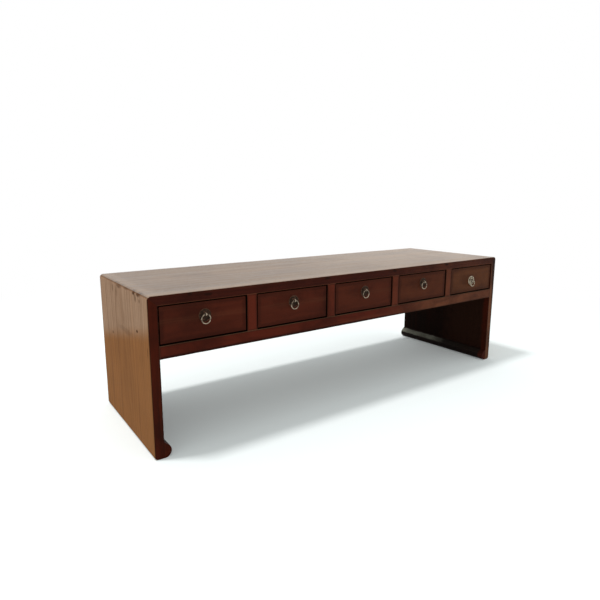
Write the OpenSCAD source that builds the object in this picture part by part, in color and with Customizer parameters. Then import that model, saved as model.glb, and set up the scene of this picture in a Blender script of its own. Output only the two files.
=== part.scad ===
// Low console table in lacquered wood. A thick top turns down at mitred corners into
// two full-depth side boards that end in inward scroll feet. A row of drawers with
// ring pulls hangs under the top, above a plain front rail.
// Millimetres. X runs along the length, the front faces -Y, Z is up, and the origin
// is on the floor under the middle of the table and its pulls.

/* [Table] */
// Length of the table, left to right
table_l = 1670; // [1300:10:2000]
// Depth of the top and side boards, front to back
table_d = 520; // [400:5:650]
// Height of the table
table_h = 500; // [400:5:650]
// Thickness of the top board and the side boards
board_t = 30; // [26:1:40]
// Number of drawers in the row
drawer_count = 5; // [2:1:5]

/* [Edges and corners] */
// Rounding where the top turns down into a side board
corner_r = 9; // [4:1:20]
// Rounding of the outer long edges of the boards
arris_r = 2.5; // [1:0.5:5]
// Rounding of the edges round the drawer openings
opening_arris_r = 1; // [0.5:0.25:2]
// Rounding of the lower outer edge of a side board
toe_r = 10; // [2:1:12]
// Wood left outside the hidden dovetails of a mitred corner
mitre_lap = 8; // [5:1:12]
// Number of hidden dovetails in a mitred corner
corner_tails = 6; // [3:1:9]
// Plain mitre at each end of a row of hidden dovetails
corner_margin = 24; // [20:1:40]

/* [Scroll feet] */
// Height at which a scroll leaves the side board
scroll_h = 51; // [45:1:90]
// Radius of the roll at the bottom of a scroll
scroll_r = 22; // [12:1:28]
// How far a scroll stands inside the side board
scroll_reach = 23; // [20:0.5:40]

/* [Front and back frame] */
// Height of the rail under the drawers
rail_h = 41; // [36:0.5:70]
// Depth of the front rail, front to back
rail_d = 28; // [22:1:40]
// Depth of the back rail, front to back
back_rail_d = 24; // [22:1:36]
// Width of an upright between two drawers
divider_w = 36; // [26:1:60]
// Height of the drawer openings
opening_h = 120; // [90:1:160]
// Thickness of the board that closes the back
back_panel_t = 12; // [8:1:14]
// Length of a rail tenon, which stays hidden in the side board
rail_tenon_l = 18; // [12:1:20]
// Length of the stub tenons on uprights and runners
stub_tenon_l = 10; // [6:1:12]
// Thickness of every tenon
tenon_t = 10; // [6:1:12]
// Shoulder round a tenon
shoulder = 6; // [3:1:8]
// Depth of the grooves that hold a panel
groove = 5; // [3:0.5:6]

/* [Runners] */
// Thickness of a drawer runner
runner_t = 22; // [16:1:26]
// How far a runner reaches under a drawer
runner_reach = 22; // [16:1:30]
// Height of the guide on a middle runner
guide_h = 14; // [8:1:24]
// Play between a drawer and the guides beside it
guide_play = 1; // [0.5:0.1:2]

/* [Drawers] */
// Gap round a drawer front
front_gap = 4.4; // [1:0.1:6]
// How far a drawer front stands behind the frame
recess = 3; // [1:0.5:6]
// Thickness of a drawer front
front_t = 20; // [16:1:24]
// Rounding of a drawer front's edges
front_edge_r = 0.8; // [0.4:0.1:2]
// Thickness of a drawer's sides
drawer_side_t = 12; // [9:1:15]
// Thickness of a drawer's back
drawer_back_t = 12; // [9:1:15]
// Thickness of a drawer's bottom
drawer_bottom_t = 8; // [5:1:10]
// Height of a drawer's bottom above the lower edge of its sides
bottom_lift = 9; // [5:1:14]
// Drop of a drawer's sides below the opening
side_drop = 6; // [2:1:12]
// Play between a drawer and its runners
slide_play = 0.3; // [0.2:0.1:1]
// Gap between a closed drawer and the back panel
back_gap = 1.5; // [0.5:0.5:10]
// Wood left outside the dovetails of a drawer front
front_lap = 6; // [4:1:8]
// Dovetails at each corner of a drawer
drawer_tails = 3; // [2:1:4]

/* [Ring pulls] */
// Radius of the round backplate
plate_r = 20.5; // [18:0.5:28]
// How far the backplate's middle lies below the pin
plate_drop = 4; // [0:0.5:6]
// Thickness of the backplate at its rim
plate_t = 1.2; // [0.8:0.1:2]
// Height of the raised place round the pin
boss_h = 2.4; // [2:0.1:4]
// Radius of the raised place round the pin
boss_r = 7; // [5:0.5:9]
// Radius of the ring, to the middle of its wire
ring_r = 14.5; // [13:0.25:20]
// Radius of the ring's wire
wire_r = 2; // [1.5:0.1:2.5]
// Radial play of the ring in its eye
eye_play = 0.4; // [0.3:0.05:0.8]
// Thickness of metal round the eye
eye_wall = 2.9; // [2:0.1:4]
// Width of the eye along the ring's wire
eye_w = 4; // [3:0.1:6]
// Radius of the pin's shank
shank_r = 2.2; // [1.5:0.1:3]
// Play round the shank in its hole
shank_play = 0.15; // [0.1:0.05:0.5]
// Thickness of the legs bent over inside the drawer
leg_t = 1.2; // [0.8:0.1:2]
// Length of each bent leg
leg_l = 14; // [8:1:20]
// Drop of an eye below the top of its opening
eye_drop = 40; // [36:1:60]
// Extra drop of the leftmost pull
first_pull_drop = 3; // [0:1:20]
// Extra drop of the rightmost pull, which was fitted lower
last_pull_drop = 22; // [0:1:24]

/* [Hidden] */
$fn = 48;

// Overshoot of a cut past the face it starts from, and of a joint into its own board
over = 1;
// Share of a dovetail's pitch that its narrow end fills
tail_share = 0.5;
// Slope of a dovetail's sides, in degrees
tail_slope = 9;
// Wood left between two tenons that cross in a rail
tenon_gap = 2;

// How far the pulls stand in front of the frame, which moves the frame back by half
eye_r = wire_r + eye_play + eye_wall;
// Collar that seats the pin on the backplate, and how far the eye sinks into it
collar_h = 1.2;
eye_sink = 0.6;
eye_off = boss_h + collar_h - eye_sink + eye_r;
pull_reach = eye_off + eye_r - recess;
front_y = (pull_reach - table_d) / 2;

// Levels
top_under_z = table_h - board_t;
rail_top_z = top_under_z - opening_h;
rail_bottom_z = rail_top_z - rail_h;

// Places along the length
inner_l = table_l - 2 * board_t;
opening_w = (inner_l - (drawer_count - 1) * divider_w) / drawer_count;
pitch = opening_w + divider_w;
function opening_x(n) = (n - (drawer_count + 1) / 2) * pitch;
function divider_x(n) = opening_x(n) + pitch / 2;

// Places from front to back, counted from the front of the frame
back_rail_y = table_d - back_rail_d;
back_panel_y = back_rail_y + (back_rail_d - back_panel_t) / 2;

// Drawer sizes
drawer_w = opening_w - 2 * front_gap;
drawer_l = back_panel_y - recess - back_gap;
front_z = rail_top_z + front_gap;
front_top_z = top_under_z - front_gap;
side_z = rail_top_z + slide_play;
side_top_z = top_under_z - side_drop;
bottom_z = side_z + bottom_lift;
bottom_top_z = bottom_z + drawer_bottom_t;

// Height of each pull's eye
function eye_z(n) = top_under_z - eye_drop
    - (n == 1 ? first_pull_drop : 0)
    - (n == drawer_count ? last_pull_drop : 0);

drawer_pieces = ["front", "left_side", "right_side", "back", "bottom"];
pull_pieces = ["plate", "pin", "ring"];

lacquer = [0.30, 0.13, 0.08];
side_lacquer = [0.45, 0.27, 0.17];
bare_wood = [0.62, 0.48, 0.33];
dark_bronze = [0.16, 0.15, 0.11];
worn_brass = [0.66, 0.58, 0.42];

// Extrudes a Y-Z outline along X
module along_x(length) {
    rotate([90, 0, 90]) linear_extrude(length) children();
}

// Extrudes an X-Z outline along Y
module along_y(length) {
    translate([0, length, 0]) rotate([90, 0, 0]) linear_extrude(length) children();
}

// Moves what is measured from the front of the frame to its place
module from_front() {
    translate([0, front_y, 0]) children();
}

// Moves what is measured from the left end to its place
module from_left() {
    translate([-table_l / 2, 0, 0]) children();
}

// Repeats a shape at the other end
module both_ends() {
    children();
    mirror([1, 0, 0]) children();
}

// Cutter that rounds the corner of an outline; the wood lies towards +x and +y
module corner_cutter(radius) {
    if (radius > 0) difference() {
        translate([-over, -over]) square(radius + over);
        translate([radius, radius]) circle(radius);
    }
}

// Rectangle with one rounding at its two near corners and another at its two far ones
module worn_rect(size, near_r, far_r) {
    difference() {
        square(size);
        for (side = [0, 1]) {
            translate([side * size[0], 0]) mirror([side, 0]) corner_cutter(near_r);
            translate([side * size[0], size[1]]) mirror([side, 0]) mirror([0, 1]) corner_cutter(far_r);
        }
    }
}

// Top board and side boards

module top_outline() {
    difference() {
        polygon([[0, table_h], [table_l, table_h], [table_l - board_t, top_under_z], [board_t, top_under_z]]);
        translate([0, table_h]) mirror([0, 1]) corner_cutter(corner_r);
        translate([table_l, table_h]) mirror([1, 0]) mirror([0, 1]) corner_cutter(corner_r);
    }
}

module side_outline() {
    difference() {
        polygon([[0, 0], [board_t, 0], [board_t, top_under_z], [0, table_h]]);
        corner_cutter(toe_r);
        translate([0, table_h]) mirror([0, 1]) corner_cutter(corner_r);
    }
}

// Space of the hidden dovetails at the left corner
module corner_block() {
    side = board_t - mitre_lap;
    translate([mitre_lap, corner_margin, top_under_z]) cube([side, table_d - 2 * corner_margin, side]);
}

// Dovetails cut on the top board, wider towards the outside
module corner_tail_row() {
    reach = board_t - mitre_lap;
    tail_pitch = (table_d - 2 * corner_margin) / corner_tails;
    root = tail_pitch * tail_share / 2;
    tip = root + reach * tan(tail_slope);
    translate([0, 0, top_under_z]) linear_extrude(reach + over)
        for (i = [0 : corner_tails - 1]) {
            y = corner_margin + (i + 0.5) * tail_pitch;
            polygon([
                [board_t + over, y - root],
                [board_t, y - root],
                [mitre_lap, y - tip],
                [mitre_lap, y + tip],
                [board_t, y + root],
                [board_t + over, y + root]
            ]);
        }
}

module top_board() {
    color(lacquer) from_front() difference() {
        intersection() {
            from_left() along_x(table_l) translate([0, top_under_z])
                worn_rect([table_d, board_t], opening_arris_r, arris_r);
            union() {
                difference() {
                    from_left() along_y(table_d) top_outline();
                    both_ends() from_left() corner_block();
                }
                both_ends() from_left() corner_tail_row();
            }
        }
        divider_tenons();
        back_panel_blank();
    }
}

// Plan of a side board; its inner edges stay square beside the scroll
module side_plan(inner_r) {
    rotate(90) mirror([0, 1]) worn_rect([table_d, board_t], arris_r, inner_r);
}

module side_board() {
    from_front() difference() {
        from_left() difference() {
            intersection() {
                union() {
                    along_y(table_d) side_outline();
                    corner_block();
                }
                union() {
                    linear_extrude(scroll_h) side_plan(0);
                    translate([0, 0, scroll_h]) linear_extrude(table_h - scroll_h) side_plan(opening_arris_r);
                }
            }
            corner_tail_row();
        }
        front_rail_tenons();
        back_rail_tenons();
        back_panel_blank();
    }
}

module left_side_board() {
    color(side_lacquer) side_board();
}

module right_side_board() {
    color(side_lacquer) mirror([1, 0, 0]) side_board();
}

// Scroll foot: a straight ramp that runs into a roll, glued along the inner face

module scroll_outline() {
    centre = [scroll_reach - scroll_r, scroll_r];
    notch = [0, scroll_h];
    to_centre = centre - notch;
    distance = norm(to_centre);
    swing = atan2(to_centre[1], to_centre[0]) + asin(scroll_r / distance);
    ramp = sqrt(distance * distance - scroll_r * scroll_r);
    touch = notch + ramp * [cos(swing), sin(swing)];
    intersection() {
        union() {
            polygon([[0, 0], [centre[0], 0], centre, touch, notch]);
            translate(centre) circle(scroll_r);
        }
        square([scroll_reach + over, scroll_h]);
    }
}

module foot_scroll() {
    from_front() from_left() translate([board_t, 0, 0]) along_y(table_d) scroll_outline();
}

module left_foot_scroll() {
    color(lacquer) foot_scroll();
}

module right_foot_scroll() {
    color(lacquer) mirror([1, 0, 0]) foot_scroll();
}

// Rails, uprights and back panel

// Tenons at both ends of a rail whose front face is at y
module rail_tenons(y, depth) {
    tenon_h = rail_h - 2 * shoulder;
    both_ends() translate([inner_l / 2 - over, y + (depth - tenon_t) / 2, rail_bottom_z + shoulder])
        cube([rail_tenon_l + over, tenon_t, tenon_h]);
}

module front_rail_tenons() {
    rail_tenons(0, rail_d);
}

module back_rail_tenons() {
    rail_tenons(back_rail_y, back_rail_d);
}

module front_rail() {
    color(lacquer) from_front() difference() {
        union() {
            translate([-inner_l / 2, 0, rail_bottom_z]) along_x(inner_l)
                mirror([1, -1]) worn_rect([rail_h, rail_d], opening_arris_r, 0);
            front_rail_tenons();
        }
        divider_tenons();
        runner_tenons();
    }
}

module back_rail() {
    color(lacquer) from_front() difference() {
        union() {
            translate([-inner_l / 2, back_rail_y, rail_bottom_z]) cube([inner_l, back_rail_d, rail_h]);
            back_rail_tenons();
        }
        back_panel_blank();
        runner_tenons();
    }
}

// The back panel with the edges that fill its grooves
module back_panel_blank() {
    panel_l = inner_l + 2 * groove;
    translate([-panel_l / 2, back_panel_y, rail_top_z - groove])
        cube([panel_l, back_panel_t, opening_h + 2 * groove]);
}

module back_panel() {
    color(lacquer) from_front() back_panel_blank();
}

// Stub tenons of the uprights, up into the top and down into the front rail
module divider_tenons() {
    tenon_w = divider_w - 2 * shoulder;
    for (n = [1 : drawer_count - 1])
        translate([divider_x(n) - tenon_w / 2, (rail_d - tenon_t) / 2, rail_top_z - stub_tenon_l])
            cube([tenon_w, tenon_t, opening_h + 2 * stub_tenon_l]);
}

module divider(n) {
    color(lacquer) from_front() union() {
        translate([divider_x(n) - divider_w / 2, 0, rail_top_z]) linear_extrude(opening_h)
            worn_rect([divider_w, rail_d], opening_arris_r, 0);
        intersection() {
            divider_tenons();
            translate([divider_x(n) - divider_w / 2, 0, 0]) cube([divider_w, rail_d, table_h]);
        }
    }
}

// Drawer runners and guides

runner_l = back_rail_y - rail_d;
runner_z = rail_top_z - runner_t;
middle_runner_w = divider_w + 2 * runner_reach;
// The tenons stay below those of the uprights
runner_tenon_h = runner_t - stub_tenon_l - tenon_gap;

// Tenons at both ends of a runner that fills x to x + width
module runner_tenon_pair(x, width) {
    translate([x + shoulder, rail_d - stub_tenon_l, runner_z])
        cube([width - 2 * shoulder, runner_l + 2 * stub_tenon_l, runner_tenon_h]);
}

module middle_runner_tenons(n) {
    runner_tenon_pair(divider_x(n) - middle_runner_w / 2, middle_runner_w);
}

module end_runner_tenons() {
    runner_tenon_pair(-inner_l / 2, runner_reach);
}

module runner_tenons() {
    for (n = [1 : drawer_count - 1])
        middle_runner_tenons(n);
    both_ends() end_runner_tenons();
}

module middle_runner(n) {
    color(bare_wood) from_front() union() {
        translate([divider_x(n) - middle_runner_w / 2, rail_d, runner_z])
            cube([middle_runner_w, runner_l, runner_t]);
        middle_runner_tenons(n);
    }
}

module end_runner() {
    from_front() union() {
        translate([-inner_l / 2, rail_d, runner_z]) cube([runner_reach, runner_l, runner_t]);
        end_runner_tenons();
    }
}

module left_runner() {
    color(bare_wood) end_runner();
}

module right_runner() {
    color(bare_wood) mirror([1, 0, 0]) end_runner();
}

// Strips on the middle runners that keep neighbouring drawers apart
module drawer_guides() {
    guide_w = pitch - drawer_w - 2 * guide_play;
    color(bare_wood) from_front() for (n = [1 : drawer_count - 1])
        translate([divider_x(n) - guide_w / 2, rail_d, rail_top_z])
            cube([guide_w, runner_l, guide_h]);
}

// Drawers, each measured from the middle of its front face

module at_drawer(n) {
    from_front() translate([opening_x(n), recess, 0]) children();
}

// Row of dovetails through a drawer side, widening from y = root to y = tip
module drawer_tail_row(z_from, z_to, root_y, tip_y) {
    tail_pitch = (z_to - z_from) / drawer_tails;
    root = tail_pitch * tail_share / 2;
    tip = root + abs(tip_y - root_y) * tan(tail_slope);
    inward = sign(root_y - tip_y) * over;
    translate([-drawer_w / 2, 0, 0]) along_x(drawer_side_t)
        for (i = [0 : drawer_tails - 1]) {
            z = z_from + (i + 0.5) * tail_pitch;
            polygon([
                [root_y + inward, z - root],
                [root_y, z - root],
                [tip_y, z - tip],
                [tip_y, z + tip],
                [root_y, z + root],
                [root_y + inward, z + root]
            ]);
        }
}

module front_tails() {
    drawer_tail_row(front_z, side_top_z, front_t, front_lap);
}

module back_tails() {
    drawer_tail_row(bottom_top_z, side_top_z, drawer_l - drawer_back_t, drawer_l);
}

// The bottom board, with the edges that fill its grooves
module drawer_bottom_blank() {
    width = drawer_w - 2 * (drawer_side_t - groove);
    translate([-width / 2, front_t - groove, bottom_z])
        cube([width, drawer_l - front_t + groove, drawer_bottom_t]);
}

module drawer_front(n) {
    height = front_top_z - front_z;
    color(lacquer) at_drawer(n) difference() {
        intersection() {
            translate([-drawer_w / 2, 0, front_z]) along_x(drawer_w)
                mirror([1, -1]) worn_rect([height, front_t], front_edge_r, 0);
            translate([-drawer_w / 2, 0, front_z]) linear_extrude(height)
                worn_rect([drawer_w, front_t], front_edge_r, 0);
        }
        both_ends() front_tails();
        drawer_bottom_blank();
        translate([0, -over, eye_z(n)]) rotate([-90, 0, 0])
            cylinder(h = front_t + 2 * over, r = shank_r + shank_play);
    }
}

module drawer_side() {
    height = side_top_z - side_z;
    body_l = drawer_l - drawer_back_t - front_t;
    difference() {
        union() {
            translate([-drawer_w / 2, front_t, side_z]) cube([drawer_side_t, body_l, height]);
            translate([-drawer_w / 2, front_t, side_z])
                cube([drawer_side_t, drawer_l - front_t, bottom_top_z - side_z]);
            front_tails();
            back_tails();
        }
        drawer_bottom_blank();
    }
}

module drawer_left_side(n) {
    color(bare_wood) at_drawer(n) drawer_side();
}

module drawer_right_side(n) {
    color(bare_wood) at_drawer(n) mirror([1, 0, 0]) drawer_side();
}

module drawer_back(n) {
    color(bare_wood) at_drawer(n) difference() {
        translate([-drawer_w / 2, drawer_l - drawer_back_t, bottom_top_z])
            cube([drawer_w, drawer_back_t, side_top_z - bottom_top_z]);
        both_ends() back_tails();
    }
}

module drawer_bottom(n) {
    color(bare_wood) at_drawer(n) drawer_bottom_blank();
}

// Ring pulls, each measured from the drawer's face with z pointing out of it

module at_pull(n) {
    at_drawer(n) translate([0, 0, eye_z(n)]) rotate([90, 0, 0]) children();
}

module pull_plate(n) {
    rim_bevel = plate_t / 2;
    color(dark_bronze) at_pull(n) difference() {
        union() {
            translate([0, -plate_drop, 0]) rotate_extrude($fn = 64) polygon([
                [0, 0],
                [plate_r, 0],
                [plate_r, plate_t - rim_bevel],
                [plate_r - rim_bevel, plate_t],
                [0, plate_t]
            ]);
            cylinder(h = boss_h, r1 = boss_r + boss_h, r2 = boss_r);
        }
        translate([0, 0, -over]) cylinder(h = boss_h + 2 * over, r = shank_r + shank_play);
    }
}

// Flattened eye with a rounded edge, its hole along X
module pull_eye() {
    edge_r = eye_wall / 2;
    centre_r = eye_r - edge_r;
    flat = max(eye_w - eye_wall, 0);
    translate([0, 0, eye_off]) rotate([0, 90, 0]) rotate_extrude() union() {
        for (end = [-1, 1])
            translate([centre_r, end * flat / 2]) circle(edge_r);
        translate([centre_r - edge_r, -flat / 2]) square([eye_wall, flat]);
    }
}

module pull_pin(n) {
    color(worn_brass) at_pull(n) union() {
        pull_eye();
        translate([0, 0, boss_h]) cylinder(h = collar_h, r = boss_r / 2);
        translate([0, 0, -front_t - leg_t]) cylinder(h = front_t + leg_t + boss_h + over, r = shank_r);
        translate([-leg_l, -shank_r, -front_t - leg_t]) cube([2 * leg_l, 2 * shank_r, leg_t]);
    }
}

module pull_ring(n) {
    color(worn_brass) at_pull(n) translate([0, -ring_r, eye_off])
        rotate_extrude($fn = 64) translate([ring_r, 0]) circle(wire_r);
}

top_board();
left_side_board();
right_side_board();
left_foot_scroll();
right_foot_scroll();
front_rail();
back_rail();
back_panel();
left_runner();
right_runner();
drawer_guides();
for (n = [1 : drawer_count - 1]) {
    divider(n);
    middle_runner(n);
}
for (n = [1 : drawer_count]) {
    drawer_front(n);
    drawer_left_side(n);
    drawer_right_side(n);
    drawer_back(n);
    drawer_bottom(n);
    pull_plate(n);
    pull_pin(n);
    pull_ring(n);
}
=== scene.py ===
"""Looks of the low console table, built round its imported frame.

Lengths are in metres, in the frame's own axes: X runs along the table, the front
faces -Y, Z is up and the floor is at zero.
"""

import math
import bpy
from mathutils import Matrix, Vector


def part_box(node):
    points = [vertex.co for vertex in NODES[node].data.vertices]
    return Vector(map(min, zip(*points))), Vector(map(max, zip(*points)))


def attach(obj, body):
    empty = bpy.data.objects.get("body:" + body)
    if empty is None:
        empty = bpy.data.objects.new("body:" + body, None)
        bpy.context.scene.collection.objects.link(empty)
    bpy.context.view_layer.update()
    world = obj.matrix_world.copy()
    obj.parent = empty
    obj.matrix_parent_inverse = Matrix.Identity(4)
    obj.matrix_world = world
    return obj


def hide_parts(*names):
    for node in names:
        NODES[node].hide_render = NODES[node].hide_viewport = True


bl_info = {
    "name": "Low Console Table",
    "version": (1, 0, 0),
    "blender": (4, 5, 0),
    "location": "View3D > Sidebar > Console Table",
    "description": "Dresses the frame of a low console table in worn lacquer and old metal",
    "category": "Object",
}

import bmesh
import bpy
from bpy.props import FloatProperty, FloatVectorProperty, PointerProperty
from mathutils import Vector

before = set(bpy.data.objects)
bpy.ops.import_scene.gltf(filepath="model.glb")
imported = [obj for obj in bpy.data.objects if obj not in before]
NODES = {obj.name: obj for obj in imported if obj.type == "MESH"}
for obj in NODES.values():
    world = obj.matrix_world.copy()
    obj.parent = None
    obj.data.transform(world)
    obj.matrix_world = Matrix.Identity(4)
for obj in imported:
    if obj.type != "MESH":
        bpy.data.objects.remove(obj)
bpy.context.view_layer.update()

DRAWERS = range(1, 1 + sum(name.endswith("_front") for name in NODES))
TOP_LOW, TOP_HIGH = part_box("top_board")
LEFT_LOW, LEFT_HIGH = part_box("left_side_board")
RIGHT_LOW, RIGHT_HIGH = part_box("right_side_board")
SCROLL_LOW, SCROLL_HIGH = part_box("left_foot_scroll")
RAIL_LOW, RAIL_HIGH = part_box("front_rail")
PLATE_LOW, PLATE_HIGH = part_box("pull_1_plate")
PIN_LOW, PIN_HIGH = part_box("pull_1_pin")
RING_LOW, RING_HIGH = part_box("pull_1_ring")

FRONT_Y = TOP_LOW.y
BACK_Y = TOP_HIGH.y
INNER_X = RIGHT_LOW.x
TOP_UNDER_Z = TOP_LOW.z
RAIL_TOP_Z = RAIL_HIGH.z
FACE_Y = PLATE_HIGH.y
WIRE_R = (RING_HIGH.y - RING_LOW.y) / 2
RING_R = (RING_HIGH.x - RING_LOW.x) / 2 - WIRE_R
PLATE_R = (PLATE_HIGH.x - PLATE_LOW.x) / 2

X, Y, Z = range(3)
MM = 0.001
TOUCH = 0.1 * MM  # a point this near to a plane lies in it
NEAR = 1 * MM  # what lies this near to a plane counts as its border
STRAIGHT = 0.999  # share of an edge's length that lies along its axis
FACING = 0.6  # a face looks along an axis from this part of its normal on
MITRE = math.sqrt(0.5)
SEAM_W = 0.8 * MM
TO_FRONT = (math.radians(90), 0.0, 0.0)  # turns a flat primitive to look to the front


def shade(red, green, blue):
    """Linear colour of three screen values from 0 to 255"""
    def linear(value):
        share = value / 255
        return share / 12.92 if share <= 0.04045 else ((share + 0.055) / 1.055) ** 2.4
    return tuple(linear(value) for value in (red, green, blue))


def length(name, description, default):
    return FloatProperty(
        name=name, description=description, default=default, min=0.0,
        precision=5, subtype="DISTANCE", unit="LENGTH",
    )


def colour(name, description, default):
    return FloatVectorProperty(
        name=name, description=description, default=default,
        size=3, min=0.0, max=1.0, subtype="COLOR",
    )


def paint(name, description, *screen):
    """A colour given by its three screen values"""
    return colour(name, description, shade(*screen))


def place(name, description, default):
    return FloatVectorProperty(
        name=name, description=description, default=default,
        size=3, subtype="XYZ", unit="LENGTH",
    )


def factor(name, description, default):
    return FloatProperty(
        name=name, description=description, default=default, min=0.0, subtype="FACTOR",
    )


class TableSizes(bpy.types.PropertyGroup):
    corner_r: length("Corner", "Rounding where the top turns down into a side board", 9 * MM)
    toe_r: length("Toe", "Rounding of the lower outer edge of a side board", 10 * MM)
    arris_r: length("Outer arris", "Rounding of the boards' outer long edges", 2.5 * MM)
    inner_arris_r: length("Inner arris", "Rounding of the edges round the drawer openings", 1 * MM)
    planing: length("Planing", "Depth of the hollows that hand planing left", 0.9 * MM)
    planing_size: length("Planing size", "Width of the hollows that hand planing left", 0.12)
    grid: length("Grid", "Spacing of the points that carry the unevenness", 12 * MM)
    scroll_r: length("Roll", "Radius of the roll at the bottom of a scroll foot", 22 * MM)
    scroll_arris_r: length("Scroll arris", "Rounding of the ends of a scroll foot", 1.5 * MM)


class PullSizes(bpy.types.PropertyGroup):
    rim_w: length("Rim", "Width of the raised rim of a backplate", 1.6 * MM)
    boss_r: length("Boss", "Radius of the raised place round the pin", 7 * MM)
    eye_wall: length("Eye wall", "Thickness of the metal round the eye", 2.9 * MM)
    shank_r: length("Shank", "Radius of the pin behind the eye", 2.2 * MM)
    leg_t: length("Leg", "Thickness of the legs bent over inside a drawer", 1.2 * MM)
    hammering: length("Hammering", "Unevenness of the metal", 0.12 * MM)


class FinishColours(bpy.types.PropertyGroup):
    front: paint("Front", "Lacquer of the drawer fronts", 73, 29, 17)
    front_last: paint("Front, last", "Browner lacquer of the last drawer front", 85, 48, 27)
    # Also laid as a painted shadow along the rail's lower edge
    front_dark_and_shadow: paint("Front, dark", "Darkened lacquer of the front", 38, 13, 7)
    top_edge: paint("Top edge", "Lacquer of the front edge of the top", 58, 21, 13)
    rail: paint("Rail", "Lacquer of the rail", 78, 28, 16)
    upright: paint("Upright", "Redder lacquer of the uprights", 86, 33, 20)
    frame_pale: paint("Frame, pale", "Paler lacquer at the right end of the frame", 108, 64, 42)
    leg: paint("Leg", "Lacquer of the front edge of the left side board", 64, 20, 8)
    leg_last: paint("Leg, last", "Paler front edge of the right side board", 95, 56, 35)
    leg_dark: paint("Leg, dark", "Darkened lacquer of the legs", 28, 11, 6)
    side: paint("Side", "Worn lacquer of the side boards", 134, 90, 54)
    side_dark: paint("Side, dark", "Darker grain of the side boards", 90, 58, 36)
    # Painted reflection: the paler upper part of the side boards stands in for the sheen of the
    # bright surroundings
    side_painted_sheen: paint("Side, pale", "Bleached upper part of the side boards", 151, 122, 99)
    side_worn: paint(
        "Side, worn", "Wood that shows through along the grain of the side boards", 152, 102, 62,
    )
    knot: paint("Knot", "Knots and burns in the side boards", 52, 30, 18)
    top: paint("Top", "Worn lacquer of the top", 112, 84, 54)
    top_dark: paint("Top, dark", "Darker grain of the top", 66, 44, 28)
    # Also laid as a painted highlight along the front edge of the top
    top_pale: paint("Top, pale", "Streaks of the top that are rubbed pale", 150, 122, 96)
    # Painted reflection: paler towards the right end of the top, where it reflects more of the
    # surroundings
    top_far_sheen: paint("Top, far", "Paler lacquer towards the right end of the top", 160, 136, 114)
    # Painted shade: near-black for the faces that look away from the light, the sides of the drawer
    # fronts in their gaps and the scroll feet
    inner: paint("Inside", "Dark dull lacquer on faces turned away from the light", 17, 9, 6)
    # Painted highlight: grey along the tops of the rolls, where they face the sky
    ramp: paint("Roll", "Grey wear on the rolls of the scroll feet", 118, 116, 104)
    # Painted reflection: browner inside the right side board towards the front
    inside_painted_reflection: paint("Inside, warm", "Browner lacquer inside the right side board", 46, 25, 16)
    worn: paint("Worn", "Wood where the lacquer has worn through", 132, 84, 58)
    # Painted highlight: a pale line along the rail's top edge, where it catches the light
    rail_edge_highlight: paint("Dust", "Dust and wax along the rail's top edge", 120, 98, 72)
    wood: paint("Bare wood", "Bare wood of drawers and runners", 150, 112, 74)
    wood_dark: paint("Bare wood, dark", "Grain and dirt of the bare wood", 84, 56, 36)
    bronze: paint("Bronze", "Dark bronze of the backplates", 84, 56, 40)
    bronze_dull: paint("Bronze, dull", "Tarnish of the backplates", 36, 25, 15)
    brass: paint("Brass", "Worn brass of the rings and pins", 172, 156, 136)
    brass_dull: paint("Brass, dull", "Tarnish of the rings and pins", 58, 45, 35)
    # Painted reflection: the last pull's brighter brass stands in for the bright surroundings that
    # it reflects
    brass_last_painted_reflection: paint("Brass, last", "Brighter brass of the last pull", 192, 178, 154)


class StageSettings(bpy.types.PropertyGroup):
    camera_place: place("Camera", "Place of the camera", (-1.2671, -1.5885, 0.7711))
    camera_turn: FloatVectorProperty(
        name="Camera angles", description="Tilt, roll and turn of the camera",
        default=(math.radians(79.617), 0.0, math.radians(-34.86)),
        size=3, subtype="EULER", unit="ROTATION",
    )
    lens: FloatProperty(
        name="Lens", description="Focal length on a frame 36 mm wide",
        default=29.321, min=1.0, subtype="DISTANCE_CAMERA",
    )
    shift: FloatVectorProperty(
        name="Shift", default=(0.0133, -0.02), size=2,
        description="How far the frame is moved sideways and up, in widths of the frame",
    )
    key_place: place("Lamp", "Place of the soft lamp over the table", (-3.1, 0.9, 8.0))
    key_power: FloatProperty(
        name="Lamp power", description="Power of the soft lamp",
        default=360.0, min=0.0, subtype="POWER", unit="POWER",
    )
    key_size: length("Lamp size", "Width of the soft lamp", 1.0)
    ambient: factor("Ambient", "Strength of the light from all round", 0.76)
    sky: colour("Ambient colour", "Colour of the light from all round", (0.955, 1.0, 1.0))
    floor: colour("Floor", "Colour of the floor", (0.87, 0.905, 0.9))
    floor_lift: factor(
        "Floor glow", "Light the floor gives off, which keeps its shadows from going dark", 0.12,
    )
    floor_size: length("Floor size", "Width of the floor", 40.0)
    fade_from: length("Fade from", "Distance at which the floor starts to turn white", 1.2)
    fade_to: length("Fade to", "Distance at which the floor is white", 3.0)


# Modelling with the edit tools

def deselect():
    bpy.ops.object.select_all(action="DESELECT")


def only(obj):
    """Selects one object and makes it the active one"""
    deselect()
    obj.select_set(True)
    bpy.context.view_layer.objects.active = obj


def rename(obj, name):
    obj.name = name
    obj.data.name = name


def added(name):
    """Names the object that a primitive has just added, and moves its origin to the frame's"""
    obj = bpy.context.object
    rename(obj, name)
    bpy.ops.object.transform_apply(location=True, rotation=True, scale=True)
    return obj


def edit(obj):
    only(obj)
    bpy.ops.object.mode_set(mode="EDIT")


def leave():
    bpy.ops.object.mode_set(mode="OBJECT")


def pick_all():
    bpy.ops.mesh.select_all(action="SELECT")


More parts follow.
